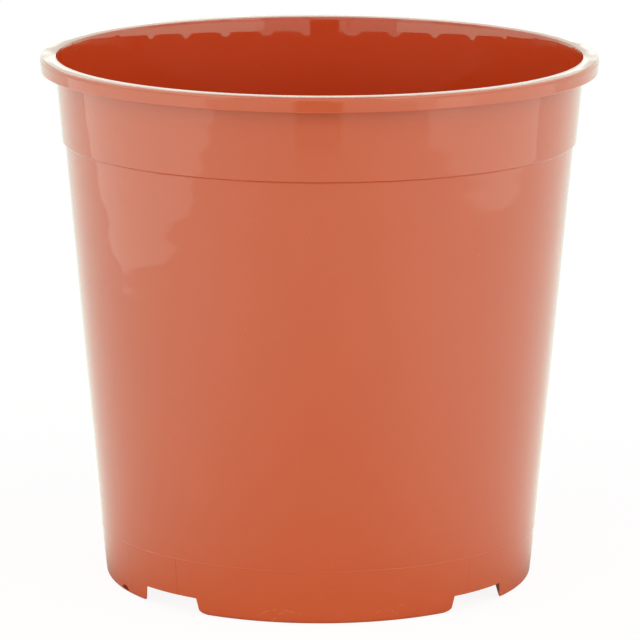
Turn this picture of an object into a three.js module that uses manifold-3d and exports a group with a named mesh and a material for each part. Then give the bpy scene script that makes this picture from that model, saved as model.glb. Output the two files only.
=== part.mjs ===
// Plastic plant pot, one injection moulding: a tapered wall with a deeper collar at the top, a
// rim that turns down into a lip, and four feet left standing by a square recess under the base.
// Millimetres, +Z up, origin at the centre of the base on the floor, front of the pot towards -Y.

import * as THREE from 'three';
import { mergeVertices } from 'three/addons/utils/BufferGeometryUtils.js';
import Module from 'manifold-3d';

const wasm = await Module();
wasm.setup();

const degrees = (angle) => (angle * Math.PI) / 180;

// Overall size and wall
const potHeight = 285.6;
const rimRadius = 150;
const wall = 1.5;
const wallTaper = degrees(4.96);
const aroundPot = 108;

// Rim: a flat ring, a rounded shoulder and a lip that turns down outside the wall
const rimOverhang = 7.6;
const ringWidth = 7.1;
const shoulderDrop = 2.6;
const lipHeight = 8.1;
const lipThickness = 1.6;
const lipDraft = degrees(4);
const flangeThickness = 2.6;
const mouthRounding = 0.6;

// Ribs that tie the lip to the wall, out of sight under the rim
const ribCount = 36;
const ribThickness = 1.2;
const ribSetback = 1;

// Collar, a little wider than the wall below it
const collarDepth = 46.2;
const collarStep = 1.4;
const collarSlope = 0.8;

// Foot band: a fine line round the wall, then a steeper skirt with a rounded toe
const footBandHeight = 29.4;
const footLineStep = 0.12;
const footTaper = degrees(5.9);
const toeRounding = 3.6;

// Square recess under the base, whose corners break out through the wall as four notches.
// What the recess leaves of the base are the feet, whose depth is taken at their middle.
const footDepth = 21.3;
const recessHeight = 9;
const recessDraft = degrees(3);
const footFloor = 1.5;
const baseThickness = 1.8;

// Drain holes through the raised base: one by each notch, and one half way between each two
const holeRadius = 6;
const holesPerRing = 4;
const cornerHoleToWall = 11;
const sideHoleToFoot = 18;

// One small arched slit at the toe of the left foot, measured from that foot's front end
const slitFromFootEnd = 23;
const slitLength = 9;
const slitRise = 3;

// How far a cutter runs past the face that it opens
const overrun = 5;

const arcSteps = 5;
const holeSides = 24;

// Radius of the wall's outside at a depth below the top of the rim, above the foot band
function wallRadius(z) {
  const depth = potHeight - z;
  const collar = rimRadius - rimOverhang - depth * Math.tan(wallTaper);
  return depth < collarDepth ? collar : collar - collarStep;
}

const footLineRadius = wallRadius(footBandHeight) - footLineStep;
const floorRadius = footLineRadius - footBandHeight * Math.tan(footTaper);
const recessHalfWidth = floorRadius - footDepth;

// Points of a rounded toe between a level floor and a skirt that leans out by the foot taper
function toe(radiusAtZero, rounding, floor) {
  const centreZ = floor + rounding;
  const centreR = radiusAtZero + centreZ * Math.tan(footTaper) - rounding / Math.cos(footTaper);
  const points = [];
  for (let i = 0; i <= arcSteps; i += 1) {
    const angle = THREE.MathUtils.lerp(-Math.PI / 2, -footTaper, i / arcSteps);
    const r = centreR + rounding * Math.cos(angle);
    points.push(new THREE.Vector2(r, centreZ + rounding * Math.sin(angle)));
  }
  return points;
}

// Points of a quarter of an ellipse, from its outer end up to its top
function quarterEllipse(centreR, centreZ, acrossR, acrossZ) {
  const points = [];
  for (let i = 0; i <= arcSteps; i += 1) {
    const angle = (i / arcSteps) * (Math.PI / 2);
    const r = centreR + acrossR * Math.cos(angle);
    points.push(new THREE.Vector2(r, centreZ + acrossZ * Math.sin(angle)));
  }
  return points;
}

// The wall's profile from the foot line up to a height, moved in by a thickness
function wallPoints(inset, topZ) {
  const stepZ = potHeight - collarDepth;
  const straight = inset / Math.cos(wallTaper);
  const belowStep = wallRadius(stepZ) - straight;
  const aboveStep = belowStep + collarStep + collarSlope * Math.tan(wallTaper);
  const topRadius = wallRadius(topZ) - straight;
  return [
    new THREE.Vector2(footLineRadius - inset / Math.cos(footTaper), footBandHeight),
    new THREE.Vector2(wallRadius(footBandHeight) - straight, footBandHeight + footLineStep),
    new THREE.Vector2(belowStep, stepZ),
    new THREE.Vector2(aboveStep, stepZ + collarSlope),
    new THREE.Vector2(topRadius, topZ),
  ];
}

// Turns a closed geometry into a solid that can be joined and cut
function solid(geometry) {
  const bare = geometry.clone();
  bare.deleteAttribute('normal');
  bare.deleteAttribute('uv');
  const merged = mergeVertices(bare);
  const corners = merged.index.array;
  const triangles = [];
  for (let i = 0; i < corners.length; i += 3) {
    const [a, b, c] = corners.slice(i, i + 3);
    if (a !== b && b !== c && c !== a) triangles.push(a, b, c);
  }
  return new wasm.Manifold(new wasm.Mesh({
    numProp: 3,
    vertProperties: new Float32Array(merged.attributes.position.array),
    triVerts: new Uint32Array(triangles),
  }));
}

// A profile that starts and ends on the axis, turned about +Z
function turned(profile) {
  const geometry = new THREE.LatheGeometry(profile, aroundPot);
  geometry.rotateX(Math.PI / 2);
  return solid(geometry);
}

// A square block with leaning sides, from below the floor up to a height
function leaningBlock(halfWidthAtFloor, height) {
  const lean = Math.tan(recessDraft);
  const toCorner = Math.SQRT2;
  const top = (halfWidthAtFloor - height * lean) * toCorner;
  const bottom = (halfWidthAtFloor + overrun * lean) * toCorner;
  const geometry = new THREE.CylinderGeometry(top, bottom, height + overrun, 4, 1);
  geometry.rotateX(Math.PI / 2);
  geometry.rotateZ(Math.PI / 4);
  geometry.translate(0, 0, (height - overrun) / 2);
  return solid(geometry);
}

// Everything inside the pot's outer surface, filled up to the mouth
function outerBlank() {
  const lipBottom = potHeight - lipHeight;
  const flangeUnderside = potHeight - flangeThickness;
  const shoulderZ = potHeight - shoulderDrop;
  const faceLean = (shoulderZ - lipBottom) * Math.tan(lipDraft);
  const mouthRadius = wallRadius(potHeight) - wall / Math.cos(wallTaper);
  const ringOuter = mouthRadius + mouthRounding + ringWidth;
  return turned([
    new THREE.Vector2(0, 0),
    ...toe(floorRadius, toeRounding, 0),
    ...wallPoints(0, flangeUnderside),
    new THREE.Vector2(rimRadius - lipThickness, flangeUnderside),
    new THREE.Vector2(rimRadius - faceLean - lipThickness, lipBottom),
    new THREE.Vector2(rimRadius - faceLean, lipBottom),
    ...quarterEllipse(ringOuter, shoulderZ, rimRadius - ringOuter, shoulderDrop),
    new THREE.Vector2(0, potHeight),
  ]);
}

// The room inside the pot, open at the mouth, with its base raised over the recess
function innerRoom() {
  const innerFloorRadius = floorRadius - wall / Math.cos(footTaper);
  const innerToe = Math.max(toeRounding - wall, mouthRounding);
  const throatZ = potHeight - mouthRounding;
  const throat = wallPoints(wall, throatZ);
  const mouthRadius = throat[throat.length - 1].x + mouthRounding;
  const room = turned([
    new THREE.Vector2(0, footFloor),
    ...toe(innerFloorRadius, innerToe, footFloor),
    ...throat,
    new THREE.Vector2(mouthRadius, potHeight),
    new THREE.Vector2(mouthRadius, potHeight + overrun),
    new THREE.Vector2(0, potHeight + overrun),
  ]);
  return room.subtract(leaningBlock(recessHalfWidth + wall, recessHeight + baseThickness));
}

// One rib under the rim, sunk half way into the wall and the lip that it joins
function rib(angle) {
  const bottom = potHeight - lipHeight + ribSetback;
  const top = potHeight - flangeThickness / 2;
  const inner = wallRadius(bottom) - wall / 2;
  const outer = rimRadius - lipThickness;
  const geometry = new THREE.BoxGeometry(outer - inner, ribThickness, top - bottom);
  geometry.translate((inner + outer) / 2, 0, (bottom + top) / 2);
  geometry.rotateZ(angle);
  return solid(geometry);
}

// How far the drain holes by the notches and those between them lie from the pot's axis
function holeCircles() {
  const wallInside = floorRadius + recessHeight * Math.tan(footTaper) - wall / Math.cos(footTaper);
  return {
    corner: wallInside - cornerHoleToWall - holeRadius,
    side: recessHalfWidth - sideHoleToFoot - holeRadius,
  };
}

// One round drain hole through the raised base
function drainHole(circle, angle) {
  const length = baseThickness + 2 * overrun;
  const geometry = new THREE.CylinderGeometry(holeRadius, holeRadius, length, holeSides);
  geometry.rotateX(Math.PI / 2);
  geometry.translate(circle, 0, recessHeight + baseThickness / 2);
  geometry.rotateZ(angle);
  return solid(geometry);
}

// The slit: a half ellipse standing on the foot's inner floor, pushed out through the toe
function toeSlit() {
  const outline = new THREE.Shape();
  outline.absellipse(0, 0, slitLength / 2, slitRise, 0, Math.PI);
  outline.closePath();
  const reach = toeRounding + wall;
  const geometry = new THREE.ExtrudeGeometry(outline, {
    depth: reach + overrun,
    bevelEnabled: false,
    curveSegments: arcSteps * 2,
  });
  geometry.rotateX(Math.PI / 2);
  geometry.translate(0, reach - floorRadius, footFloor);
  const footHalfAngle = Math.acos(recessHalfWidth / floorRadius);
  const fromFootMiddle = footHalfAngle - slitFromFootEnd / floorRadius;
  geometry.rotateZ(fromFootMiddle - Math.PI / 2);
  return solid(geometry);
}

function potSolid() {
  let pot = outerBlank().subtract(innerRoom());
  for (let i = 0; i < ribCount; i += 1) {
    pot = pot.add(rib((i / ribCount) * 2 * Math.PI));
  }
  pot = pot.subtract(leaningBlock(recessHalfWidth, recessHeight));
  const circles = holeCircles();
  for (let i = 0; i < holesPerRing; i += 1) {
    const side = (i / holesPerRing) * 2 * Math.PI;
    const corner = side + Math.PI / holesPerRing;
    pot = pot.subtract(drainHole(circles.side, side));
    pot = pot.subtract(drainHole(circles.corner, corner));
  }
  return pot.subtract(toeSlit());
}

// Turns a solid back into a geometry with flat faces
function geometryOf(body) {
  const { vertProperties, triVerts } = body.getMesh();
  const geometry = new THREE.BufferGeometry();
  geometry.setAttribute('position', new THREE.BufferAttribute(vertProperties, 3));
  geometry.setIndex(new THREE.BufferAttribute(triVerts, 1));
  geometry.computeVertexNormals();
  return geometry;
}

const terracotta = new THREE.MeshStandardMaterial({
  color: new THREE.Color().setRGB(0.79, 0.4, 0.28, THREE.SRGBColorSpace),
  roughness: 0.22,
  metalness: 0,
  flatShading: true,
});

const pot = new THREE.Mesh(geometryOf(potSolid()), terracotta);
pot.name = 'pot';

const group = new THREE.Group();
group.add(pot);

export default group;
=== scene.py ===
# %% [markdown]
# This lesson dresses a plastic plant pot, 30 cm across the rim: one injection moulding in
# glossy terracotta polypropylene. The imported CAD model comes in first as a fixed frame. Every
# size below is either read from it or is one of a few driving dimensions, in metres.

import math

import bmesh
import bpy
from mathutils import Matrix, Vector


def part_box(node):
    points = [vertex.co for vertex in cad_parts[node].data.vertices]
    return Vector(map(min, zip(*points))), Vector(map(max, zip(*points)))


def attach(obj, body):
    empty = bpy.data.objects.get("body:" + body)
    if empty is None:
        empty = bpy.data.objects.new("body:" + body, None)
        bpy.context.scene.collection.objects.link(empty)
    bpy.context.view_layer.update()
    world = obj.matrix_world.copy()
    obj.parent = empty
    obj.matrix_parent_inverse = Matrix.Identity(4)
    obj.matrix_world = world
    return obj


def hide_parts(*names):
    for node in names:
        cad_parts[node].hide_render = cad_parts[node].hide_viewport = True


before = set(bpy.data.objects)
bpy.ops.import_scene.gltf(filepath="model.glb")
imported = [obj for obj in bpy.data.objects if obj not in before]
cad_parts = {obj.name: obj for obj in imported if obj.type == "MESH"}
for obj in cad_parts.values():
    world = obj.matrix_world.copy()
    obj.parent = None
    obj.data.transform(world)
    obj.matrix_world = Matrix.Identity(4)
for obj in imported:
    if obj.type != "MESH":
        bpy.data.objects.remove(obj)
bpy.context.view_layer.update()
mm = 0.001

# %% [markdown]
# The pot stands with its axis on Z and its feet square to X and Y. The photograph saw it turned
# a little, and it is simpler to turn the studio than the pot: camera and lamps are placed as
# the photographer stood, and then swung about the pot's axis by that small angle. The lens is
# long and far away, as for catalogue pictures, which keeps the sides nearly parallel.

# %% Camera
def add_object(name, data):
    """A new object of the scene"""
    item = bpy.data.objects.new(name, data)
    bpy.context.scene.collection.objects.link(item)
    return item


studio_turn = math.radians(-2.35)
camera_distance = 2522.7 * mm
camera_height = 665.6 * mm
camera_pitch = 0.2057
camera_roll = 0.0024
focal_pixels = 4742.97
frame_pixels = 640
sideways_pixels = 1.08
downwards_pixels = 0.5


def in_studio(x, y, z):
    """A place that the photographer would measure, swung into the pot's own frame"""
    return Matrix.Rotation(studio_turn, 4, "Z") @ Vector((x, y, z))


camera_data = bpy.data.cameras.new("catalogue_camera")
camera_data.sensor_width = 36
camera_data.lens = focal_pixels / frame_pixels * camera_data.sensor_width
camera_data.shift_x = sideways_pixels / frame_pixels
camera_data.shift_y = downwards_pixels / frame_pixels
camera = add_object("catalogue_camera", camera_data)
tilt = Matrix.Rotation(math.pi / 2 - camera_pitch, 4, "X") @ Matrix.Rotation(camera_roll, 4, "Z")
swing = Matrix.Rotation(studio_turn, 4, "Z")
stand = Matrix.Translation(in_studio(0, -camera_distance, camera_height))
camera.matrix_world = stand @ swing @ tilt
bpy.context.scene.camera = camera
bpy.context.scene.view_settings.view_transform = "Standard"
print("lens in mm:", round(camera_data.lens, 1))

# %% [markdown]
# Soft light comes from a white world that is a little brighter in front of the pot than behind
# it. What the gloss mirrors is a matter of its own, as in a real studio: the backdrop behind is
# brighter than white, the floor fades towards the camera, and upright panels stand close by:
# a folded one on the left and a straight one on the right. So the world and the floor answer
# camera rays, mirrored rays and soft light each with their own brightness, which a Light Path
# node tells apart.

# %% Helpers for node trees
def add_node(tree, kind, **settings):
    """A node with its settings; an input takes a socket, a node's first output or a plain value"""
    node = tree.nodes.new(kind)
    inputs = settings.pop("inputs", {})
    for name, value in settings.items():
        setattr(node, name, value)
    for name, value in inputs.items():
        if isinstance(value, bpy.types.Node):
            value = value.outputs[0]
        if isinstance(value, bpy.types.NodeSocket):
            tree.links.new(value, node.inputs[name])
        else:
            node.inputs[name].default_value = value
    return node


def count_nodes(name, tree):
    """Prints how many nodes a tree holds so far"""
    print("nodes for the", name + ":", len(tree.nodes))


def math_node(operation, *values):
    """One step of arithmetic between sockets and numbers, in the tree that the sockets are in"""
    tree = next(value.id_data for value in values if isinstance(value, bpy.types.NodeSocket))
    node = add_node(tree, "ShaderNodeMath", operation=operation, inputs=dict(enumerate(values)))
    return node.outputs[0]


def plus(first, second):
    """Their sum"""
    return math_node("ADD", first, second)


def minus(first, second):
    """The first without the second"""
    return math_node("SUBTRACT", first, second)


def times(first, second):
    """Their product"""
    return math_node("MULTIPLY", first, second)


def divided(first, second):
    """The first divided by the second"""
    return math_node("DIVIDE", first, second)


def part_along(vector, direction):
    """How far a vector reaches along a fixed direction"""
    node = add_node(
        vector.id_data, "ShaderNodeVectorMath", operation="DOT_PRODUCT",
        inputs={0: vector, 1: direction},
    )
    return node.outputs["Value"]


def length_of(vector):
    """The length of a vector"""
    node = add_node(vector.id_data, "ShaderNodeVectorMath", operation="LENGTH", inputs={0: vector})
    return node.outputs["Value"]


def ramp(value, low, high, from_value, to_value):
    """A value that glides from one number to another while its input goes from low to high"""
    return add_node(value.id_data, "ShaderNodeMapRange", interpolation_type="SMOOTHSTEP", inputs={
        "Value": value, "From Min": low, "From Max": high, "To Min": from_value, "To Max": to_value,
    }).outputs[0]


def chosen(choice, off, on):
    """The second value where the choice is 1, and the first where it is 0"""
    node = add_node(choice.id_data, "ShaderNodeMix", data_type="FLOAT", inputs={0: choice, 2: off, 3: on})
    return node.outputs[0]


def between(value, low, high, soft_edge):
    """1 while a value lies between two others, with soft ends"""
    above = ramp(value, low - soft_edge, low + soft_edge, 0, 1)
    under = ramp(value, high - soft_edge, high + soft_edge, 1, 0)
    return times(above, under)


def mixed_colour(share, first, second):
    """Two colours mixed by a share; each is a socket or a plain colour"""
    node = add_node(share.id_data, "ShaderNodeMix", data_type="RGBA", inputs={
        0: share, 6: first, 7: second,
    })
    return node.outputs[2]


# %% Backdrop and soft light
backdrop_seen = 1.0
soft_light = 1.31
soft_light_front = 0.40
soft_light_rise = -1.04
key_side = math.radians(9)
key_rise = math.radians(28)
plain_tint = (1, 1, 1, 1)
mirrored_tint = (0.84, 1.0, 0.92, 1)
tint_before = (0.62, 1.0, 0.80, 1)
tint_behind = (0.83, 1.0, 0.92, 1)

to_camera = in_studio(0, -1, 0)
to_right = in_studio(1, 0, 0)
to_key = in_studio(
    math.sin(key_side) * math.cos(key_rise), -math.cos(key_side) * math.cos(key_rise), math.sin(key_rise)
)

world = bpy.data.worlds.new("white_studio")
bpy.context.scene.world = world
world.use_nodes = True
sky = world.node_tree
sky.nodes.clear()
rays = add_node(sky, "ShaderNodeLightPath").outputs
way = add_node(sky, "ShaderNodeTexCoord").outputs["Generated"]
front_share = part_along(way, to_camera)
sideways_angle = math_node("ARCTAN2", part_along(way, to_right), front_share)
off_front = math_node("ABSOLUTE", sideways_angle)
rise = part_along(way, (0, 0, 1))

soft = math_node("MULTIPLY_ADD", part_along(way, to_key), soft_light_front, soft_light)
soft = math_node("MULTIPLY_ADD", math_node("MAXIMUM", rise, 0), soft_light_rise, soft)
count_nodes("world", sky)

# %% What the gloss mirrors of the studio, by the turn off the front and by the rise
sides_start = (math.radians(-37.5), math.radians(28))
sides_edge = 0.02
front_mirrored = 1.65
sides_mirrored = 2.9
flanks_turn = (1.3, 2.1)
flanks_mirrored = 1.8

behind_turn = (2.3, 3.0)
back_low_rise = (0.130, 0.137)
back_rise = (0.1455, 0.152)
back_lowest_mirrored = 1.6
back_low_mirrored = 2.6
back_mirrored = 1.35

ceiling_turn = (1.3, 1.7)
ceiling_rise = (0.12, 0.20)
ceiling_mirrored = 1.15
overhead_rise = (0.30, 0.42)
overhead_mirrored = (3.2, 1.65)
zenith_rise = (0.85, 0.97)

camera_gap = (math.radians(-8.8), math.radians(4.1))
gap_edge = 0.01
gap_rise = (0.15, 0.25)
gap_mirrored = 0.05
rim_tint_rise = (0.10, 0.13)

at_front = between(sideways_angle, *sides_start, sides_edge)
mirrored = chosen(at_front, sides_mirrored, front_mirrored)
mirrored = chosen(ramp(off_front, *flanks_turn, 0, 1), mirrored, flanks_mirrored)
is_ceiling = times(ramp(rise, *ceiling_rise, 0, 1), ramp(off_front, *ceiling_turn, 1, 0))
mirrored = chosen(is_ceiling, mirrored, ceiling_mirrored)
back_level = ramp(rise, *back_low_rise, back_lowest_mirrored, back_low_mirrored)
back_level = chosen(ramp(rise, *back_rise, 0, 1), back_level, back_mirrored)
is_behind = ramp(off_front, *behind_turn, 0, 1)
mirrored = chosen(is_behind, mirrored, back_level)
overhead = chosen(at_front, *overhead_mirrored)
mirrored = chosen(ramp(rise, *overhead_rise, 0, 1), mirrored, overhead)
mirrored = chosen(ramp(rise, *zenith_rise, 0, 1), mirrored, ceiling_mirrored)
in_gap = between(sideways_angle, *camera_gap, gap_edge)
in_gap = times(in_gap, ramp(rise, *gap_rise, 1, 0))
mirrored = chosen(in_gap, mirrored, gap_mirrored)

glow = chosen(rays["Is Glossy Ray"], soft, mirrored)
glow = chosen(rays["Is Camera Ray"], glow, backdrop_seen)
seen_by_rim = math_node("MAXIMUM", is_behind, ramp(rise, *rim_tint_rise, 0, 1))
mirror_tint = mixed_colour(seen_by_rim, tint_before, tint_behind)
tint = mixed_colour(rays["Is Glossy Ray"], plain_tint, mirror_tint)
background = add_node(sky, "ShaderNodeBackground", inputs={"Color": tint, "Strength": glow})
add_node(sky, "ShaderNodeOutputWorld", inputs={"Surface": background})
count_nodes("world", sky)

# %% Upright panels
panel_height = 0.25
left_fold = (-0.650, 0.085)
panels = {
    "left_panel": ((-0.658, -0.69), left_fold, 0.70),
    "left_panel_leaf": (left_fold, (-1.0, 0.573), 0.70),
    "right_panel": ((0.651, -0.642), (0.942, 0.275), 0.60),
}


def add_panel(name, start, end, brightness):
    """A lit panel on the floor between two spots that faces the pot, and that only the gloss sees"""
    (x0, y0), (x1, y1) = start, end
    length = math.hypot(x1 - x0, y1 - y0)
    facing = Vector((y1 - y0, x0 - x1, 0))
    if facing.dot(Vector((x0, y0, 0))) > 0:
        facing.negate()
    data = bpy.data.lights.new(name, "AREA")
    data.shape = "RECTANGLE"
    data.size = length
    data.size_y = panel_height
    data.energy = brightness * math.pi * length * panel_height
    data.color = mirrored_tint[:3]
    lamp = add_object(name, data)
    middle = in_studio((x0 + x1) / 2, (y0 + y1) / 2, panel_height / 2)
    turn = facing.to_track_quat("-Z", "Y").to_matrix().to_4x4()
    lamp.matrix_world = Matrix.Translation(middle) @ swing @ turn
    lamp.visible_camera = False
    lamp.visible_diffuse = False


for name, stand_and_glow in panels.items():
    add_panel(name, *stand_and_glow)
print("panels:", ", ".join(panels))

# %% [markdown]
# The floor is one big sheet. Its diffuse white keeps the shadow, and a share of plain white
# that only the camera sees lifts it to the backdrop, so that no horizon shows. Soft light gets
# a small share of its own. The gloss sees the floor fade towards the camera, and near the pot
# it sees a painted shadow of the pot with a little painted red bounce light in it.
# From below it is clear, so that the underside of the pot can be looked at.

# %% Floor
floor_reach = 8.0
floor_matt = (0.92, 0.92, 0.92, 1)
floor_fill = 0.15
floor_white = (0.14, 0.14, 0.14, 1)
floor_glow = 0.90
plain_white = (1, 1, 1, 1)

floor_mesh = bpy.data.meshes.new("studio_floor")
square = [(-1, -1, 0), (1, -1, 0), (1, 1, 0), (-1, 1, 0)]
floor_mesh.from_pydata([Vector(corner) * floor_reach for corner in square], [], [(0, 1, 2, 3)])
floor = add_object("studio_floor", floor_mesh)

paper = bpy.data.materials.new("white_paper_floor")
paper.use_nodes = True
sheet = paper.node_tree
sheet.nodes.clear()
rays = add_node(sheet, "ShaderNodeLightPath").outputs
geometry = add_node(sheet, "ShaderNodeNewGeometry").outputs
spot = geometry["Position"]
from_axis = length_of(spot)
towards_camera = divided(part_along(spot, to_camera), from_axis)
behind = math_node("MULTIPLY_ADD", towards_camera, -0.5, 0.5)
in_front = minus(1, behind)
floor_angle = math_node("ARCTAN2", part_along(spot, to_right), part_along(spot, to_camera))
count_nodes("floor", sheet)

# %% How bright the gloss sees the floor, all round the pot
floor_before = 1.40
floor_beside = (3.1, 0.0)
floor_behind = 1.30
floor_far_behind = 1.05
floor_edge_on = 0.72
far_behind_from = (0.90, 1.0)
edge_on_from = (0.985, 0.998)

bright = chosen(behind, floor_before, floor_behind)
to_the_side = times(behind, in_front)
bright = math_node("MULTIPLY_ADD", to_the_side, chosen(behind, *floor_beside), bright)
bright = chosen(ramp(behind, *far_behind_from, 0, 1), bright, floor_far_behind)
edge_on = ramp(behind, *edge_on_from, 0, 1)
bright = chosen(edge_on, bright, floor_edge_on)
count_nodes("floor", sheet)

# %% How it fades near the feet in a painted shadow of the pot, and the two painted patches of shade and light far out
foot_edge = 0.104
fade_behind = 0.004
fade_sides = 0.048
fade_front = 0.086
fade_front_power = 12
camera_shade = (math.radians(-9.6), math.radians(8.9))
camera_shade_edge = 0.02
camera_shade_reach = (0.76, 1.08)
camera_shade_mirrored = 0.2
bright_far_right = (math.radians(38), math.radians(62))
bright_far_edge = 0.01
bright_far_reach = (0.98, 1.02)
bright_far_share = 0.5

fade = minus(1, math_node("POWER", behind, 2))
fade = math_node("MULTIPLY_ADD", math_node("POWER", fade, 2), fade_sides, fade_behind)
straight_ahead = math_node("POWER", in_front, fade_front_power)
fade = math_node("MULTIPLY_ADD", straight_ahead, fade_front, fade)
# The glow that the gloss sees is cut near the feet: a painted shadow of the pot.
gap = math_node("MAXIMUM", minus(from_axis, foot_edge), 0)
near = divided(gap, plus(gap, fade))
mirrored = times(bright, near)
shaded = between(floor_angle, *camera_shade, camera_shade_edge)
shaded = times(shaded, ramp(from_axis, *camera_shade_reach, 0, 1))
mirrored = chosen(shaded, mirrored, camera_shade_mirrored)
far_right = between(floor_angle, *bright_far_right, bright_far_edge)
far_right = times(far_right, ramp(from_axis, *bright_far_reach, 0, 1))
mirrored = math_node("MULTIPLY_ADD", far_right, bright_far_share, mirrored)
count_nodes("floor", sheet)

# %% The floor's looks for mirrored rays, for the camera and for soft light
# In the painted shadow near the feet the gloss sees a little painted red bounce light.
foot_shadow = 0.17
foot_shadow_tint = (0.60, 0.35, 0.25, 1)
edge_on_tint = (1.0, 0.95, 0.90, 1)

far_tint = mixed_colour(edge_on, mirrored_tint, edge_on_tint)
glint = add_node(sheet, "ShaderNodeEmission", inputs={
    "Color": mixed_colour(near, foot_shadow_tint, far_tint),
    "Strength": plus(mirrored, foot_shadow),
})
matt = add_node(sheet, "ShaderNodeBsdfDiffuse", inputs={"Color": floor_matt})
fill = add_node(sheet, "ShaderNodeEmission", inputs={"Color": plain_white, "Strength": floor_fill})
lit = add_node(sheet, "ShaderNodeAddShader", inputs={0: matt, 1: fill})
pale = add_node(sheet, "ShaderNodeBsdfDiffuse", inputs={"Color": floor_white})
white = add_node(sheet, "ShaderNodeEmission", inputs={"Color": plain_white, "Strength": floor_glow})
seen = add_node(sheet, "ShaderNodeAddShader", inputs={0: pale, 1: white})
clear = add_node(sheet, "ShaderNodeBsdfTransparent")


def mixed(share, first, second):
    """Two shaders mixed by a share"""
    return add_node(sheet, "ShaderNodeMixShader", inputs={0: share, 1: first, 2: second}).outputs[0]


looks = mixed(rays["Is Camera Ray"], lit, seen)
looks = mixed(rays["Is Glossy Ray"], looks, glint)
looks = mixed(geometry["Backfacing"], looks, clear)
add_node(sheet, "ShaderNodeOutputMaterial", inputs={"Surface": looks})
floor_mesh.materials.append(paper)
count_nodes("floor", sheet)

# %% [markdown]
# The pot's wall, rim and toe all come from one line turned about the axis. Its corners are
# written from the driving dimensions, each with the rounding that the mould gives it.
# The wall leans out by its taper, steps out at the collar, and ends in a rim that overhangs.

# %% Sizes of the pot
pot_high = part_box("pot")[1]
pot_height = pot_high.z
rim_radius = pot_high.x

wall = 1.5 * mm
wall_taper = math.radians(4.96)

rim_overhang = 7.6 * mm
crown_width = 7.7 * mm
shoulder_drop = 2.6 * mm
lip_height = 8.1 * mm
lip_thickness = 1.6 * mm
lip_draft = math.radians(4)
flange_thickness = 2.6 * mm
mouth_flare = 0.6 * mm
flare_depth = 8 * mm
roll_width = 4.5 * mm
roll_drop = 0.25 * mm

collar_depth = 46.2 * mm
collar_step = 1.4 * mm
collar_slope = 0.8 * mm

band_height = 29.4 * mm
band_ledge = 0.12 * mm
band_ridge = 0.08 * mm
below_ridge = 1.5 * mm
ridge_fall = 0.2 * mm
above_ridge = 1 * mm
fine_rounding = 0.05 * mm
foot_taper = math.radians(5.9)
toe_rounding = 3.6 * mm
past_flat = 1 * mm

feet = 4
foot_depth = 21.3 * mm
recess_height = 9 * mm
recess_draft = math.radians(1)
foot_floor = 1.5 * mm
base_thickness = 1.8 * mm
edge_rounding = 0.6 * mm
foot_end_rounding = 1.6 * mm


def wall_radius(z):
    """Radius of the wall's outside at a height above the foot band"""
    depth = pot_height - z
    radius = rim_radius - rim_overhang - depth * math.tan(wall_taper)
    return radius if depth < collar_depth else radius - collar_step


band_radius = wall_radius(band_height) - band_ledge
floor_radius = band_radius - band_height * math.tan(foot_taper)
recess_half = floor_radius - foot_depth
base_top = recess_height + base_thickness
print("radius at the floor in mm:", round(floor_radius / mm, 2))

# %% [markdown]
# A small helper swaps each corner of a line for an arc, as a fillet tool does, and another
# adds points on long stretches so that the turned wall is an even, fine net.

# %% Rounded lines
arc_turn = math.radians(13)
shoulder_steps = 12
mouth_steps = 14


def rounded_line(corners):
    """The points of a line whose corners (radius, height, rounding) are swapped for arcs"""
    points = [Vector(corners[0][:2])]
    for before, corner, after in zip(corners, corners[1:], corners[2:]):
        at = Vector(corner[:2])
        if corner[2] == 0:
            points.append(at)
            continue
        into = (at - Vector(before[:2])).normalized()
        out = (Vector(after[:2]) - at).normalized()
        turn = math.atan2(into.x * out.y - into.y * out.x, into.dot(out))
        cut = corner[2] * math.tan(abs(turn) / 2)
        to_centre = Vector((-into.y, into.x)) * math.copysign(corner[2], turn)
        centre = at - into * cut + to_centre
        steps = max(2, math.ceil(abs(turn) / arc_turn))
        for i in range(steps + 1):
            points.append(centre - Matrix.Rotation(turn * i / steps, 2) @ to_centre)
    points.append(Vector(corners[-1][:2]))
    return points


def evened(points, longest):
    """The same line with points added so that no stretch is longer than asked"""
    result = [points[0]]
    for a, b in zip(points, points[1:]):
        parts = max(1, math.ceil((b - a).length / longest - 1e-6))
        result += [a.lerp(b, i / parts) for i in range(1, parts + 1)]
    return result


def quarter_ellipse(centre, across, up, steps):
    """Corners of a quarter ellipse from its outer end up to its top"""
    turns = [math.pi / 2 * i / steps for i in range(steps + 1)]
    return [(centre[0] + across * math.cos(t), centre[1] + up * math.sin(t), 0) for t in turns]


# %% Outside line, from the foot's flat up to the ring on top of the rim
step_height = pot_height - collar_depth
flange_under = pot_height - flange_thickness
lip_bottom = pot_height - lip_height
shoulder_foot = pot_height - shoulder_drop
lip_lean = (shoulder_foot - lip_bottom) * math.tan(lip_draft)
mouth_radius = wall_radius(pot_height) - wall / math.cos(wall_taper)
roll_start = mouth_radius + mouth_flare + roll_width
ring_outer = mouth_radius + crown_width
ring_end = (roll_start, pot_height, 0)


def skirt(z):
    """Radius of the foot band's outside at a height"""
    return floor_radius + z * math.tan(foot_taper)


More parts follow.
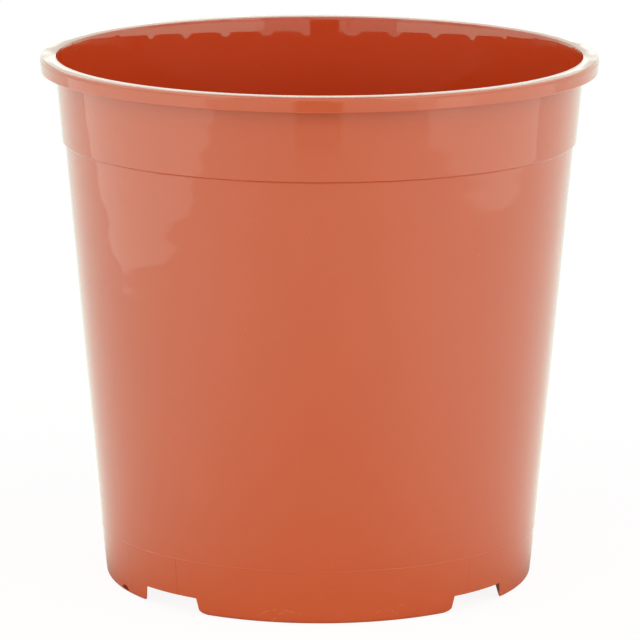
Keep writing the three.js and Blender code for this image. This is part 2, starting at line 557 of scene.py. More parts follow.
toe_flat = floor_radius - toe_rounding * math.tan((math.pi / 2 - foot_taper) / 2)
outside = [
    (toe_flat - past_flat, 0, 0),
    (floor_radius, 0, toe_rounding),
    (skirt(recess_height), recess_height, 0),
    (skirt(band_height - below_ridge), band_height - below_ridge, 0),
    (wall_radius(band_height) + band_ridge, band_height, fine_rounding),
    (wall_radius(band_height) + band_ridge, band_height + band_ridge, fine_rounding),
    (wall_radius(band_height + ridge_fall), band_height + ridge_fall, fine_rounding),
    (wall_radius(band_height + above_ridge), band_height + above_ridge, 0),
    (wall_radius(step_height), step_height, 1.0 * mm),
    (wall_radius(step_height + collar_slope), step_height + collar_slope, 0.5 * mm),
    (wall_radius(flange_under), flange_under, 0.9 * mm),
    (rim_radius - lip_thickness, flange_under, 0.6 * mm),
    (rim_radius - lip_lean - lip_thickness, lip_bottom, 0.5 * mm),
    (rim_radius - lip_lean, lip_bottom, 0.7 * mm),
    *quarter_ellipse((ring_outer, shoulder_foot), rim_radius - ring_outer, shoulder_drop, shoulder_steps),
    ring_end,
]
longest_step = 8 * mm
outer_line = evened(rounded_line(outside)[1:], longest_step)
print("points on the outside line:", len(outer_line))

# %% [markdown]
# The inside line runs back down: over a gentle roll at the mouth, along the inner wall one wall
# thickness in, and into the hollow of the feet. It is the outside moved in along its own normal.

# %% Inside line, from the roll at the mouth down to the floor of the feet's hollows
inset = wall / math.cos(wall_taper)
band_inset = wall / math.cos(foot_taper)
flare = [
    (radius + (z - pot_height) * math.tan(wall_taper), z, 0)
    for radius, z, _ in quarter_ellipse(
        (mouth_radius + mouth_flare, pot_height - flare_depth), -mouth_flare, flare_depth, mouth_steps
    )
]
roll = quarter_ellipse((roll_start, pot_height - roll_drop), -roll_width, roll_drop, mouth_steps)
inside = [
    *reversed(roll),
    *(corner for corner in reversed(flare) if corner[1] < pot_height - roll_drop - mouth_flare),
    (wall_radius(step_height + collar_slope) - inset, step_height + collar_slope, 1.0 * mm),
    (wall_radius(step_height) - inset, step_height, 0.5 * mm),
    (wall_radius(band_height) - inset, band_height + band_ledge, fine_rounding),
    (band_radius - band_inset, band_height, fine_rounding),
    (skirt(base_top) - band_inset, base_top, 0),
    (skirt(foot_floor) - band_inset, foot_floor, toe_rounding - wall),
    (toe_flat - past_flat, foot_floor, 0),
]
inner_line = evened(rounded_line(inside)[1:-1], longest_step)
print("points on the inside line:", len(inner_line))

# %% [markdown]
# The square recess under the base breaks out through the round wall at its four corners. So
# the turned wall isn't whole at the bottom: a foot stands on each side of the square, with a
# notch between each two. On the line, each point carries how wide the foot is at its height.

# %% The line as a mesh with the foot's half angle on each point
foot_columns = 72
notch_columns = 18
even_half = math.pi / feet * foot_columns / (foot_columns + notch_columns)


def recess_plane(z, in_hollow):
    """Distance from the axis to the recess wall, or to its other face in the feet's hollows"""
    return recess_half + (wall if in_hollow else 0) - z * math.tan(recess_draft)


def foot_half_angle(point, in_hollow):
    """Half of the angle that a foot takes of the turned surface at this point of the line"""
    radius, z = point
    top = base_top if in_hollow else recess_height
    if z <= top + 1e-7:
        return math.acos(recess_plane(z, in_hollow) / radius)
    radius_at_top = skirt(top) - (band_inset if in_hollow else 0)
    half_at_top = math.acos(recess_plane(top, in_hollow) / radius_at_top)
    share = min(1, (z - top) / (band_height - top))
    return half_at_top + (even_half - half_at_top) * share


line_mesh = bpy.data.meshes.new("pot_line")
whole_line = outer_line + inner_line
line_edges = [(i, i + 1) for i in range(len(whole_line) - 1)]
line_mesh.from_pydata([(radius, 0, z) for radius, z in whole_line], line_edges, [])
in_hollow = [i >= len(outer_line) for i in range(len(whole_line))]
half_angles = [foot_half_angle(point, flag) for point, flag in zip(whole_line, in_hollow)]
line_mesh.attributes.new("half_angle", "FLOAT", "POINT").data.foreach_set("value", half_angles)
line_mesh.attributes.new("inner", "FLOAT", "POINT").data.foreach_set("value", in_hollow)
pot = add_object("pot_moulding", line_mesh)
print("points on the whole line:", len(whole_line))

# %% [markdown]
# Geometry Nodes turn the line. A flat grid with one row for each point of the line and one
# column for each step round a quarter is bent into place: its row says which point to copy,
# and its column says how far round. Faces of the notch below the base are deleted, and four
# turned copies close the pot. A spin tool would make the round wall but not the feet.

# %% Helpers for Geometry Nodes
def modifier_tree(name, inputs):
    """A new Geometry Nodes tree with named inputs, and its first and last sockets"""
    tree = bpy.data.node_groups.new(name, "GeometryNodeTree")
    tree.is_modifier = True
    tree.interface.new_socket(name="Geometry", in_out="INPUT", socket_type="NodeSocketGeometry")
    for label, kind in inputs.items():
        tree.interface.new_socket(name=label, in_out="INPUT", socket_type=f"NodeSocket{kind}")
    tree.interface.new_socket(name="Geometry", in_out="OUTPUT", socket_type="NodeSocketGeometry")
    return tree, tree.nodes.new("NodeGroupInput").outputs, tree.nodes.new("NodeGroupOutput").inputs


def freeze(piece):
    """Swaps a piece's mesh for the plain result of its modifiers"""
    graph = bpy.context.evaluated_depsgraph_get()
    mesh = bpy.data.meshes.new_from_object(
        piece.evaluated_get(graph), preserve_all_data_layers=True, depsgraph=graph
    )
    piece.modifiers.clear()
    old = piece.data
    piece.data = mesh
    bpy.data.meshes.remove(old)
    mesh.name = piece.name


def run_tree(piece, tree, material, values):
    """Runs a tree on a piece with values for its named inputs, and keeps the plain smooth mesh"""
    modifier = piece.modifiers.new(tree.name, "NODES")
    modifier.node_group = tree
    for item in tree.interface.items_tree:
        if item.in_out == "INPUT" and item.name in values:
            modifier[item.identifier] = values[item.name]
    freeze(piece)
    piece.data.shade_smooth()
    piece.data.materials.clear()
    piece.data.materials.append(material)


def sampled(geometry, kind, value, index):
    """The value that a field has at one point of a geometry"""
    node = add_node(geometry.id_data, "GeometryNodeSampleIndex", data_type=kind, domain="POINT", inputs={
        "Geometry": geometry, "Value": value, "Index": index,
    })
    return node.outputs["Value"]


def named(tree, name):
    """A number stored on the points of a mesh"""
    node = add_node(tree, "GeometryNodeInputNamedAttribute", data_type="FLOAT", inputs={"Name": name})
    return node.outputs["Attribute"]


def stored(geometry, name, value):
    """The geometry with a number stored on its points"""
    return add_node(
        geometry.id_data, "GeometryNodeStoreNamedAttribute", data_type="FLOAT", domain="POINT",
        inputs={"Geometry": geometry, "Name": name, "Value": value},
    ).outputs[0]


def turned_copies(geometry, count):
    """Copies of a geometry, evenly turned about the axis and made real"""
    tree = geometry.id_data
    line = add_node(tree, "GeometryNodeMeshLine", inputs={"Count": count, "Offset": (0, 0, 0)})
    index = add_node(tree, "GeometryNodeInputIndex").outputs[0]
    turn = times(index, divided(2 * math.pi, count))
    spin = add_node(tree, "ShaderNodeCombineXYZ", inputs={"Z": turn})
    copies = add_node(
        tree, "GeometryNodeInstanceOnPoints",
        inputs={"Points": line, "Instance": geometry, "Rotation": spin},
    )
    return add_node(tree, "GeometryNodeRealizeInstances", inputs={0: copies}).outputs[0]


# %% The tree that turns the line into a wall on feet
merge_distance = 0.002 * mm

turning, given, made = modifier_tree("turned wall on feet", {
    "Feet": "Int",
    "Foot columns": "Int",
    "Notch columns": "Int",
    "Notch height": "Float",
    "Base top": "Float",
})
size = add_node(turning, "GeometryNodeAttributeDomainSize", inputs={0: given["Geometry"]})
rows = size.outputs["Point Count"]
columns = plus(given["Foot columns"], given["Notch columns"])
grid = add_node(turning, "GeometryNodeMeshGrid", inputs={
    "Vertices X": plus(columns, 1),
    "Vertices Y": rows,
})
point = add_node(turning, "GeometryNodeInputIndex").outputs[0]
row = math_node("FLOORED_MODULO", point, rows)
column = math_node("FLOOR", divided(plus(point, 0.5), rows))
place = add_node(turning, "GeometryNodeInputPosition").outputs[0]
on_line = sampled(given["Geometry"], "FLOAT_VECTOR", place, row)
half = sampled(given["Geometry"], "FLOAT", named(turning, "half_angle"), row)
inner = sampled(given["Geometry"], "FLOAT", named(turning, "inner"), row)

half_notch = divided(given["Notch columns"], 2)
foot_end = plus(half_notch, given["Foot columns"])
quarter = divided(math.pi, given["Feet"])
past_foot = minus(quarter, half)


def over(first, last, low, high):
    """A value that climbs from low to high while the column goes from first to last"""
    return add_node(turning, "ShaderNodeMapRange", inputs={
        "Value": column, "From Min": first, "From Max": last, "To Min": low, "To Max": high,
    }).outputs[0]


first_notch = over(0.0, half_notch, times(quarter, -1), times(half, -1))
foot_part = over(half_notch, foot_end, 0.0, times(half, 2))
last_notch = over(foot_end, columns, 0.0, past_foot)
angle = plus(plus(first_notch, foot_part), last_notch)

parts = add_node(turning, "ShaderNodeSeparateXYZ", inputs={0: on_line})
bent = add_node(turning, "ShaderNodeCombineXYZ", inputs={
    "X": times(parts.outputs["X"], math_node("SINE", angle)),
    "Y": times(times(parts.outputs["X"], math_node("COSINE", angle)), -1),
    "Z": parts.outputs["Z"],
})
marked = stored(grid.outputs["Mesh"], "column", column)
marked = stored(marked, "inner", inner)
placed = add_node(turning, "GeometryNodeSetPosition", inputs={"Geometry": marked, "Position": bent})

here = add_node(turning, "ShaderNodeSeparateXYZ", inputs={0: place}).outputs["Z"]
in_notch = plus(
    math_node("LESS_THAN", named(turning, "column"), half_notch),
    math_node("GREATER_THAN", named(turning, "column"), foot_end),
)
notch_top = add_node(turning, "ShaderNodeMapRange", inputs={
    "Value": named(turning, "inner"), "To Min": given["Notch height"], "To Max": given["Base top"],
}).outputs[0]
below = math_node("LESS_THAN", here, notch_top)
notched = add_node(turning, "GeometryNodeDeleteGeometry", domain="FACE", inputs={
    "Geometry": placed, "Selection": times(in_notch, below),
})
whole = turned_copies(notched, given["Feet"])
merged = add_node(turning, "GeometryNodeMergeByDistance", inputs={
    "Geometry": whole, "Distance": merge_distance,
})
cleared = add_node(turning, "GeometryNodeRemoveAttribute", inputs={"Geometry": merged, "Name": "column"})
turning.links.new(cleared.outputs[0], made["Geometry"])

plastic = bpy.data.materials.new("terracotta_polypropylene")
plastic.use_nodes = True
run_tree(pot, turning, plastic, {
    "Feet": feet,
    "Foot columns": foot_columns,
    "Notch columns": notch_columns,
    "Notch height": recess_height,
    "Base top": base_top,
})
print("faces of the turned wall:", len(pot.data.polygons))

# %% [markdown]
# What isn't turned is flat: the soles of the feet, the walls of the recess, the raised base with
# its drain holes, and the same faces again inside. Mesh code closes them one by one between
# the open edges that the notches left.

# %% Close the feet and the base
shell = bmesh.new()
shell.from_mesh(pot.data)
weight = shell.edges.layers.float.new("bevel_weight_edge")
inner_mark = shell.verts.layers.float["inner"]
open_points = {v for edge in shell.edges if edge.is_boundary for v in edge.verts}
near = 0.005 * mm
well_out = 0.9


def angle_of(point):
    """Angle round the axis from the front, towards the right"""
    return math.atan2(point.co.x, -point.co.y)


def open_ring(z, in_hollow):
    """The open points at one height on one face of the wall, in order round the pot"""
    found = [
        v for v in open_points if abs(v.co.z - z) < near and (v[inner_mark] > 0.5) == in_hollow
    ]
    return sorted(found, key=angle_of)


def foot_directions():
    """Unit vectors from the axis to the middle of each foot"""
    turns = [i / feet * 2 * math.pi for i in range(feet)]
    return [Vector((math.sin(turn), -math.cos(turn), 0)) for turn in turns]


def sideways(point, out):
    """How far a point lies to the side of a foot's middle"""
    return point.co.dot(Vector((-out.y, out.x, 0)))


for out in foot_directions():
    for in_hollow, z in ((False, 0), (True, foot_floor)):
        sole = [v for v in open_ring(z, in_hollow) if v.co.dot(out) > recess_half * well_out]
        shell.faces.new(sorted(sole, key=lambda v: sideways(v, out)))
        ends = [
            v for v in open_points
            if (v[inner_mark] > 0.5) == in_hollow
            and abs(v.co.dot(out) - recess_plane(v.co.z, in_hollow)) < near
        ]
        left = sorted([v for v in ends if sideways(v, out) < 0], key=lambda v: v.co.z)
        right = sorted([v for v in ends if sideways(v, out) > 0], key=lambda v: -v.co.z)
        shell.faces.new(left + right)
print("open edges left before the base:", sum(edge.is_boundary for edge in shell.edges))

# %% Raised base with its drain holes
hole_radius = 6 * mm
holes_per_ring = 4
corner_hole_to_wall = 11 * mm
side_hole_to_foot = 18 * mm
hole_sides = 48
corner_circle = skirt(recess_height) - band_inset - corner_hole_to_wall - hole_radius
side_circle = recess_half - side_hole_to_foot - hole_radius


def ring_edges(points):
    """The closed loop of edges through these points"""
    return [
        shell.edges.get((a, b)) or shell.edges.new((a, b))
        for a, b in zip(points, points[1:] + points[:1])
    ]


def hole_ring(circle, turn, z):
    """New points round a drain hole at one height"""
    centre = Vector((circle * math.sin(turn), -circle * math.cos(turn), z))
    steps = [i / hole_sides * 2 * math.pi for i in range(hole_sides)]
    return [
        shell.verts.new(centre + Vector((math.cos(t), math.sin(t), 0)) * hole_radius) for t in steps
    ]


holes = []
for i in range(holes_per_ring):
    side_turn = i / holes_per_ring * 2 * math.pi
    holes.append((side_circle, side_turn))
    holes.append((corner_circle, side_turn + math.pi / holes_per_ring))

hole_rings = {z: [hole_ring(*hole, z) for hole in holes] for z in (recess_height, base_top)}
for low_ring, high_ring in zip(hole_rings[recess_height], hole_rings[base_top]):
    for i in range(hole_sides):
        j = (i + 1) % hole_sides
        shell.faces.new((low_ring[i], low_ring[j], high_ring[j], high_ring[i]))

for z, in_hollow, up in ((recess_height, False, -1), (base_top, True, 1)):
    edges = ring_edges(open_ring(z, in_hollow))
    for ring in hole_rings[z]:
        edges += ring_edges(ring)
    bmesh.ops.triangle_fill(
        shell, use_beauty=True, use_dissolve=True, edges=edges, normal=(0, 0, up)
    )
bmesh.ops.recalc_face_normals(shell, faces=shell.faces)
print("open edges left:", sum(not edge.is_manifold for edge in shell.edges))
print("volume in cm3:", round(shell.calc_volume(signed=True) * 1e6, 2))

# %% [markdown]
# No edge of a moulding is truly sharp. The rim and collar had their roundings in the line; what
# is left are the edges of the notches, feet and drain holes, all of them low on the pot. A
# Bevel modifier reads from a weight on each edge how round it gets: the ends of the feet count
# in full, and the other edges for a share of that.

# %% Round the low edges
sharp_turn = math.radians(35)
rounding_steps = 4
low_edges = [
    edge for edge in shell.edges
    if max(v.co.z for v in edge.verts) < base_top + near and edge.calc_face_angle() > sharp_turn
]


def on_foot_end(edge):
    """Whether an edge borders the recess wall of a foot, up its end or along its sole"""
    lowest = min(v.co.z for v in edge.verts)
    return lowest < recess_height - near and all(
        v[inner_mark] < 0.5
        and abs(max(abs(v.co.x), abs(v.co.y)) - recess_plane(v.co.z, False)) < near
        for v in edge.verts
    )


for edge in low_edges:
    edge[weight] = 1 if on_foot_end(edge) else edge_rounding / foot_end_rounding
print("foot end edges:", sum(edge[weight] == 1 for edge in low_edges))
for face in shell.faces:
    face.smooth = True
shell.to_mesh(pot.data)
shell.free()
rounding = pot.modifiers.new("rounded edges", "BEVEL")
rounding.limit_method = "WEIGHT"
rounding.offset_type = "OFFSET"
rounding.width = foot_end_rounding
rounding.segments = rounding_steps
rounding.use_clamp_overlap = False
freeze(pot)

shell = bmesh.new()
shell.from_mesh(pot.data)
bmesh.ops.triangulate(shell, faces=[face for face in shell.faces if len(face.verts) > 4])
print("open edges after rounding:", sum(not edge.is_manifold for edge in shell.edges))
shell.to_mesh(pot.data)
shell.free()
print("rounded edges:", len(low_edges), "faces now:", len(pot.data.polygons))

# %% [markdown]
# One small arched slit runs through the toe of the left foot, a few centimetres from the
# notch. A solid arch is pushed through the toe, and a Boolean takes it away. The arch stands a
# hair above the floor of the hollow foot, because a Boolean leaves strips without area where
# two faces lie in one plane.

# %% Slit in the left foot
slit_from_foot_end = 23 * mm
slit_length = 9 * mm
slit_rise = 3 * mm
slit_above_floor = 0.02 * mm
arch_steps = 24
foot_half_at_floor = math.acos(recess_half / floor_radius)
slit_turn = foot_half_at_floor - slit_from_foot_end / floor_radius - math.pi / 2
arch = [
    (slit_length / 2 * math.cos(math.pi * i / arch_steps), slit_rise * math.sin(math.pi * i / arch_steps))
    for i in range(arch_steps + 1)
]
near_end = floor_radius - toe_rounding - wall
far_end = floor_radius + toe_rounding
arch_foot = foot_floor + slit_above_floor
arch_points = [(x, -distance, arch_foot + z) for distance in (near_end, far_end) for x, z in arch]
count = len(arch)
arch_faces = [tuple(range(count)), tuple(range(2 * count - 1, count - 1, -1))]
arch_faces += [(i, i + count, (i + 1) % count + count, (i + 1) % count) for i in range(count)]
arch_mesh = bpy.data.meshes.new("slit_arch")
arch_mesh.from_pydata(arch_points, [], arch_faces)
arch_mesh.transform(Matrix.Rotation(slit_turn, 4, "Z"))
cutter = add_object("slit_arch", arch_mesh)
arch_mesh.materials.append(plastic)
arch_shell = bmesh.new()
arch_shell.from_mesh(arch_mesh)
bmesh.ops.recalc_face_normals(arch_shell, faces=arch_shell.faces)
arch_shell.to_mesh(arch_mesh)
arch_shell.free()

cut = pot.modifiers.new("slit", "BOOLEAN")
cut.operation = "DIFFERENCE"
cut.solver = "EXACT"
cut.object = cutter
freeze(pot)
bpy.data.objects.remove(cutter)
print("faces with the slit:", len(pot.data.polygons))

# %% [markdown]
# Shading on a mesh with large flat faces beside small roundings needs care. A Weighted Normal
# modifier lets the large faces keep their own direction, so that reflections stay straight and
# only the roundings bend them.

# %% Weighted normals
def settle_normals(piece):
    """Marks hard edges, lets large faces rule the shading, and keeps the plain mesh"""
    edges = bmesh.new()
    edges.from_mesh(piece.data)
    for edge in edges.edges:
        edge.smooth = edge.is_manifold and edge.calc_face_angle() < sharp_turn
    print("hard edges on", piece.name + ":", sum(not edge.smooth for edge in edges.edges))
    edges.to_mesh(piece.data)
    edges.free()
    weighted = piece.modifiers.new("weighted normals", "WEIGHTED_NORMAL")
    weighted.mode = "FACE_AREA"
    weighted.keep_sharp = True
    freeze(piece)


settle_normals(pot)

# %% [markdown]
# Thirty-six short ribs tie the turned-down lip to the wall, out of sight from above. Geometry
# Nodes sweep one rounded section from wall to lip and set it round the rim.

# %% Ribs under the rim
rib_count = 36
rib_thickness = 1.2 * mm
rib_setback = 1 * mm
rib_corner = 0.35 * mm
rib_corner_steps = 3
rib_bottom = lip_bottom + rib_setback
rib_top = pot_height - flange_thickness / 2
rib_inner = wall_radius(rib_bottom) - wall / 2
rib_outer = rim_radius - lip_thickness

ribbing, given, made = modifier_tree("ribs under the rim", {
    "Count": "Int",
    "Thickness": "Float",
    "Height": "Float",
    "Corner": "Float",
    "Length": "Float",
    "Start": "Vector",
})
section = add_node(ribbing, "GeometryNodeCurvePrimitiveQuadrilateral", inputs={
    "Width": given["Height"], "Height": given["Thickness"],
})
rounded = add_node(ribbing, "GeometryNodeFilletCurve", mode="POLY", inputs={
    "Curve": section, "Count": rib_corner_steps, "Radius": given["Corner"],
})
along = add_node(ribbing, "ShaderNodeCombineXYZ", inputs={"Z": given["Length"]})
spine = add_node(ribbing, "GeometryNodeCurvePrimitiveLine", inputs={"End": along})
bar = add_node(ribbing, "GeometryNodeCurveToMesh", inputs={
    "Curve": spine, "Profile Curve": rounded, "Fill Caps": True,
})
laid = add_node(ribbing, "GeometryNodeTransform", inputs={
    "Geometry": bar, "Translation": given["Start"], "Rotation": (0, math.pi / 2, 0),
})
ring = turned_copies(laid, given["Count"])
ribbing.links.new(ring, made["Geometry"])

ribs = add_object("rim_ribs", bpy.data.meshes.new("rim_ribs"))
run_tree(ribs, ribbing, plastic, {
    "Count": rib_count,
    "Thickness": rib_thickness,
    "Height": rib_top - rib_bottom,
    "Corner": rib_corner,
    "Length": rib_outer - rib_inner,
    "Start": (rib_inner, 0, (rib_bottom + rib_top) / 2),
})
settle_normals(ribs)
print("ribs box in mm:", [round(v / mm, 2) for v in (*ribs.bound_box[0], *ribs.bound_box[6])])

# %% [markdown]
# The finish is glossy plastic with its own faults: the wall is not perfectly true, so mirrored
# edges waver; inside the mouth a faint sink shows over each rib; the foot band carries the thin
# upright lines of the mould's inserts. Each effect is a node group, so that it can be reused.

# %% Where a point is on the pot
def shader_group(name, inputs, outputs):
    """A new shader node group whose named inputs and outputs are plain numbers"""
    tree = bpy.data.node_groups.new(name, "ShaderNodeTree")
    for label, value in inputs.items():
        socket = tree.interface.new_socket(name=label, in_out="INPUT", socket_type="NodeSocketFloat")
        socket.default_value = value
    for label in outputs:
        tree.interface.new_socket(name=label, in_out="OUTPUT", socket_type="NodeSocketFloat")
    return tree, tree.nodes.new("NodeGroupInput").outputs, tree.nodes.new("NodeGroupOutput").inputs


def object_spot(tree):
    """The shaded point in the pot's own frame"""
    return add_node(tree, "ShaderNodeTexCoord").outputs["Object"]


whereabouts, given, made = shader_group("place on the pot", {}, ("Angle", "Height", "Radius"))
spot = object_spot(whereabouts)
spot_parts = add_node(whereabouts, "ShaderNodeSeparateXYZ", inputs={0: spot}).outputs
front_way = times(spot_parts["Y"], -1)
whereabouts.links.new(math_node("ARCTAN2", spot_parts["X"], front_way), made["Angle"])
whereabouts.links.new(spot_parts["Z"], made["Height"])
flat_spot = add_node(whereabouts, "ShaderNodeCombineXYZ", inputs={
    "X": spot_parts["X"], "Y": spot_parts["Y"],
}).outputs[0]
whereabouts.links.new(length_of(flat_spot), made["Radius"])


def on_pot(tree):
    """Angle round the pot, height and radius of the shaded point"""
    return add_node(tree, "ShaderNodeGroup", node_tree=whereabouts).outputs


count_nodes("place on the pot", whereabouts)

# %% The inside of the pot
inside_blend = 0.8 * mm
base_blend = 0.5 * mm

inside_group, given, made = shader_group(
    "inside of the wall", {"Middle at floor": 0.11, "Taper": 0.09, "Collar at": 0.24, "Collar step": 0.001},
    ("Inside",),
)
here = on_pot(inside_group)
middle = math_node("MULTIPLY_ADD", here["Height"], given["Taper"], given["Middle at floor"])
on_collar = math_node("GREATER_THAN", here["Height"], given["Collar at"])
middle = math_node("MULTIPLY_ADD", on_collar, given["Collar step"], middle)
depth_in = minus(middle, here["Radius"])
inside_mask = ramp(depth_in, 0.0, inside_blend, 0, 1)
above_base = ramp(here["Height"], recess_height + base_blend, base_top, 0, 1)
inside_group.links.new(times(inside_mask, above_base), made["Inside"])
count_nodes("inside", inside_group)

# %% Waviness of the moulded wall
inside_truer = 0.85

waviness, given, made = shader_group("moulded waviness", {
    "Long wave": 0.06, "Short wave": 0.022, "Long depth": 0.1, "Short depth": 0.09,
    "Band height": 0.014, "Band depth": 0.12, "Inside": 0.0,
}, ("Height",))
spot = object_spot(waviness)


def wave(length, depth):
    """Smooth hills of one size, in millimetres of height"""
    hills = add_node(waviness, "ShaderNodeTexNoise", noise_dimensions="3D", inputs={
        "Vector": spot, "Scale": divided(1, length), "Detail": 0.0,
    })
    return times(hills.outputs[0], depth)


long_hills = wave(given["Long wave"], given["Long depth"])
short_hills = wave(given["Short wave"], given["Short depth"])
hills = plus(long_hills, short_hills)
upright = add_node(waviness, "ShaderNodeSeparateXYZ", inputs={0: spot}).outputs["Z"]
bands = add_node(waviness, "ShaderNodeTexNoise", noise_dimensions="1D", inputs={
    "W": divided(upright, given["Band height"]), "Scale": 1.0, "Detail": 0.0,
}).outputs[0]
hills = math_node("MULTIPLY_ADD", bands, given["Band depth"], hills)
truer_inside = math_node("MULTIPLY_ADD", given["Inside"], -inside_truer, 1)
waviness.links.new(times(hills, truer_inside), made["Height"])
count_nodes("waviness", waviness)

# %% Sinks over the ribs
rib_to_rib = 0.7

sinks, given, made = shader_group("sinks over the ribs", {
    "Count": 36.0, "Half width": 0.002, "Depth": 0.01, "Starts at": 0.27, "Full at": 0.28,
}, ("Height",))
here = on_pot(sinks)
turns = times(here["Angle"], divided(given["Count"], 2 * math.pi))
phase = minus(turns, math_node("ROUND", turns))
across = times(phase, divided(2 * math.pi, given["Count"]))
across = times(across, here["Radius"])
share = math_node("POWER", divided(across, given["Half width"]), 2)
dip = math_node("EXPONENT", times(share, -1))
uneven = add_node(sinks, "ShaderNodeTexNoise", noise_dimensions="1D", inputs={
    "W": math_node("ROUND", turns), "Scale": rib_to_rib, "Detail": 0.0,
}).outputs[0]
dip = times(dip, times(uneven, 2))
reach_up = ramp(here["Height"], given["Starts at"], given["Full at"], 0, 1)
deep = times(times(dip, reach_up), given["Depth"])
sinks.links.new(times(deep, -1), made["Height"])
count_nodes("sinks", sinks)

# %% Upright lines of the mould's inserts
line_core = 0.4
right_share = 0.45
left_to_right = (-0.2, 0.2)

mould_lines, given, made = shader_group("upright mould line", {
    "From front": 0.7, "Turned by": 0.0, "Width": 0.0002, "Up to": 0.03,
}, ("Line",))
here = on_pot(mould_lines)
off_front = math_node("ABSOLUTE", minus(here["Angle"], given["Turned by"]))
folded = math_node("PINGPONG", off_front, math.pi / 2)
off_line = math_node("ABSOLUTE", minus(folded, given["From front"]))
off_line = times(off_line, here["Radius"])
line = ramp(off_line, times(given["Width"], line_core), given["Width"], 1, 0)
on_band = math_node("LESS_THAN", here["Height"], given["Up to"])
stronger_left = ramp(here["Angle"], *left_to_right, 1, right_share)
line = times(line, times(on_band, stronger_left))
mould_lines.links.new(line, made["Line"])
count_nodes("mould line", mould_lines)

# %% [markdown]
# Pale specks lie all over the pot, and the front foot has a few arcs scratched into it. An arc
# is part of a thin ring on the unrolled wall, broken up by noise, as a dragged grain of sand
# leaves it. Specks are spots in the cells of a Voronoi pattern, of which only a share is kept.
# A painted image could hold both, but a formula stays sharp at any size.

# %% Scratches in arcs, and specks
wobble_scale = 250.0
broken_at = (0.42, 0.52)
fade_turn = 0.2
speck_core = 0.5

arc_scratch, given, made = shader_group("arc scratch", {
    "Angle": 0.0, "Height": 0.02, "Arc radius": 0.02, "Width": 0.0002, "From": 0.0, "To": 1.0,
}, ("Scratch",))
here = on_pot(arc_scratch)
along = times(minus(here["Angle"], given["Angle"]), here["Radius"])
up = minus(here["Height"], given["Height"])
unrolled = add_node(arc_scratch, "ShaderNodeCombineXYZ", inputs={"X": along, "Y": up}).outputs[0]
wobble = add_node(
    arc_scratch, "ShaderNodeTexNoise", inputs={"Vector": unrolled, "Scale": wobble_scale}
).outputs[0]
off_arc = math_node("ABSOLUTE", minus(length_of(unrolled), given["Arc radius"]))
wobbly_width = times(given["Width"], times(wobble, 2))
thin = ramp(off_arc, 0.0, wobbly_width, 1, 0)
turn = math_node("ARCTAN2", up, along)
begun = ramp(turn, given["From"], plus(given["From"], fade_turn), 0, 1)
ended = ramp(turn, minus(given["To"], fade_turn), given["To"], 1, 0)
thin = times(thin, times(begun, ended))
broken = ramp(wobble, *broken_at, 0, 1)
arc_scratch.links.new(times(thin, broken), made["Scratch"])

specks, given, made = shader_group("specks", {"Spacing": 0.012, "Size": 0.0004, "Share": 0.5}, ("Speck",))
spot = object_spot(specks)
cells = add_node(specks, "ShaderNodeTexVoronoi", inputs={
    "Vector": spot, "Scale": divided(1, given["Spacing"]), "Randomness": 1.0,
})
off_speck = times(cells.outputs["Distance"], given["Spacing"])
dot = ramp(off_speck, times(given["Size"], speck_core), given["Size"], 1, 0)
kept = add_node(specks, "ShaderNodeSeparateColor", inputs={0: cells.outputs["Color"]}).outputs[0]
dot = times(dot, math_node("LESS_THAN", kept, given["Share"]))
specks.links.new(dot, made["Speck"])
count_nodes("arc scratch", arc_scratch)
count_nodes("specks", specks)

# %% [markdown]
# The effects meet on the plastic. Hills, sinks and mould lines are far too shallow to show in
# the outline, so they go into one relief for a Bump node. Mould lines also darken the colour,
# painted shade for a step too small to shade itself, and wear pales it.

# %% The relief of the plastic
sink_half_width = 2.8 * mm
sink_depth = 0.12
sink_below_rim = (11 * mm, 4 * mm)
mould_turn = math.radians(-0.9)
mould_line_turns = (math.radians(41.2), math.radians(61))
mould_line_width = 0.22 * mm
second_line_share = 0.55
line_depth = 0.03

skin = plastic.node_tree
skin.nodes.clear()


def from_group(tree, **values):
    """The one output of a shader group used on the plastic"""
    inputs = {name.replace("_", " "): value for name, value in values.items()}
    return add_node(skin, "ShaderNodeGroup", node_tree=tree, inputs=inputs).outputs[0]


place_on_pot = on_pot(skin)
outer_skin = math_node("GREATER_THAN", place_on_pot["Radius"], floor_radius - toe_rounding - wall)
in_pot = from_group(
    inside_group, Middle_at_floor=wall_radius(0) - wall / 2, Taper=math.tan(wall_taper),
    Collar_at=step_height, Collar_step=collar_step,
)
waves = from_group(waviness, Inside=in_pot)
rib_sinks = from_group(
    sinks, Count=float(rib_count), Half_width=sink_half_width, Depth=sink_depth,
    Starts_at=pot_height - sink_below_rim[0], Full_at=pot_height - sink_below_rim[1],
)
line_first, line_second = (
    from_group(
        mould_lines, From_front=turn, Turned_by=mould_turn, Width=mould_line_width, Up_to=band_height,
    )
    for turn in mould_line_turns
)
lines = math_node("MAXIMUM", line_first, times(line_second, second_line_share))
lines = times(lines, outer_skin)
relief = math_node("MULTIPLY_ADD", rib_sinks, in_pot, waves)
relief = math_node("MULTIPLY_ADD", lines, -line_depth, relief)
bump = add_node(skin, "ShaderNodeBump", inputs={"Strength": 1.0, "Distance": mm, "Height": relief})
count_nodes("plastic", skin)

# %% Specks and scratches on the plastic
speck_spacing = 11 * mm
speck_size = 0.35 * mm
speck_share = 0.45

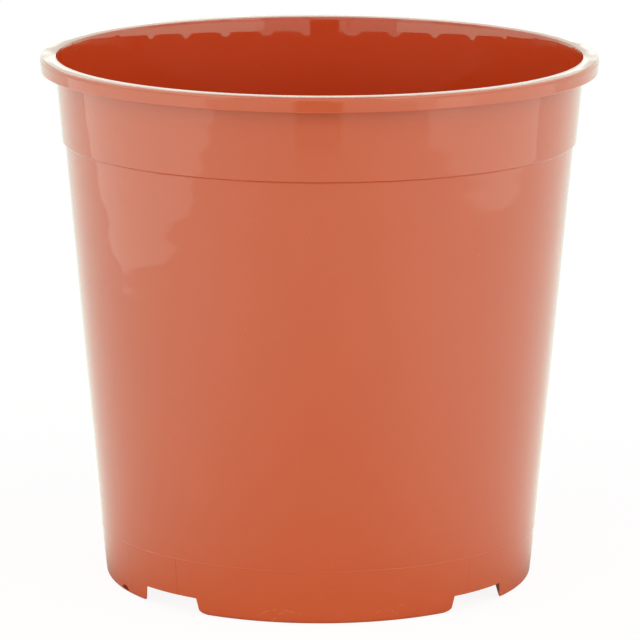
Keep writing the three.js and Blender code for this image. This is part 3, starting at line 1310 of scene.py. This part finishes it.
# Angle round the pot, height, radius and width of the arc, and the turns that it runs between
scratches = (
    (-0.22, -9 * mm, 17 * mm, 0.25 * mm, 1.0, 2.4),
    (-0.16, -6 * mm, 13 * mm, 0.22 * mm, 1.1, 2.9),
    (0.35, 1 * mm, 8 * mm, 0.25 * mm, 0.3, 2.2),
    (0.27, -2 * mm, 9 * mm, 0.25 * mm, 0.6, 2.4),
)
scuffs = from_group(specks, Spacing=speck_spacing, Size=speck_size, Share=speck_share)
for angle, height, arc_radius, width, start, end in scratches:
    scratch = from_group(
        arc_scratch, Angle=angle, Height=height, Arc_radius=arc_radius, Width=width, From=start, To=end,
    )
    scuffs = math_node("MAXIMUM", scuffs, times(scratch, outer_skin))
count_nodes("plastic", skin)

# %% [markdown]
# The plastic is dyed through and lets a little light spread in it, which a Principled shader
# with some subsurface does. Inside the pot, light bounces from wall to wall and takes on more
# of the colour each time; that is painted into the base colour too, as painted bounce light
# that makes the inside redder, and further down as painted shade that makes it darker.

# %% Terracotta plastic
terracotta = (0.60, 0.115, 0.038, 1)
terracotta_deep = (0.57, 0.105, 0.034, 1)
# The two inside colours are painted bounce light, redder than the outside, and the far one also painted
# shade, darker.
terracotta_painted_bounce = (0.65, 0.076, 0.018, 1)
terracotta_painted_bounce_and_shade = (0.60, 0.053, 0.009, 1)
# The mould lines' colour is painted shade, for a step too small to shade itself.
terracotta_line_painted_shade = (0.36, 0.045, 0.014, 1)
terracotta_scuffed = (0.72, 0.27, 0.16, 1)
cloud_scale = 25.0
cloud_detail = 3.0
# Heights below the rim over which the painted shade inside deepens.
painted_shade_below_rim = (70 * mm, 12 * mm)
line_share = 0.7
scuff_share = 0.6
gloss = (0.05, 0.03)

tint_spot = object_spot(skin)
clouds = add_node(skin, "ShaderNodeTexNoise", inputs={
    "Vector": tint_spot, "Scale": cloud_scale, "Detail": cloud_detail,
}).outputs[0]
painted_shade_from, painted_shade_to = (pot_height - below for below in painted_shade_below_rim)
painted_shade_share = ramp(place_on_pot["Height"], painted_shade_from, painted_shade_to, 1, 0)
colour = mixed_colour(clouds, terracotta, terracotta_deep)
# Painted bounce light and painted shade inside the pot.
painted_bounce_colour = mixed_colour(painted_shade_share, terracotta_painted_bounce, terracotta_painted_bounce_and_shade)
colour = mixed_colour(in_pot, colour, painted_bounce_colour)
# Painted shade along the mould lines.
colour = mixed_colour(times(lines, line_share), colour, terracotta_line_painted_shade)
colour = mixed_colour(times(scuffs, scuff_share), colour, terracotta_scuffed)

surface = add_node(skin, "ShaderNodeBsdfPrincipled", inputs={
    "Base Color": colour,
    "Roughness": ramp(in_pot, 0, 1, *gloss),
    "IOR": 1.5,
    "Subsurface Weight": 0.3,
    "Subsurface Radius": (1.0, 0.25, 0.1),
    "Subsurface Scale": 1.5 * mm,
    "Normal": bump,
})
add_node(skin, "ShaderNodeOutputMaterial", inputs={"Surface": surface})
count_nodes("plastic", skin)

# %% [markdown]
# Last, each piece rides on the pot's one body and stands for the CAD node.

# %% Hand over to the frame
for piece in (pot, ribs):
    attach(piece, "root")
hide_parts("pot")
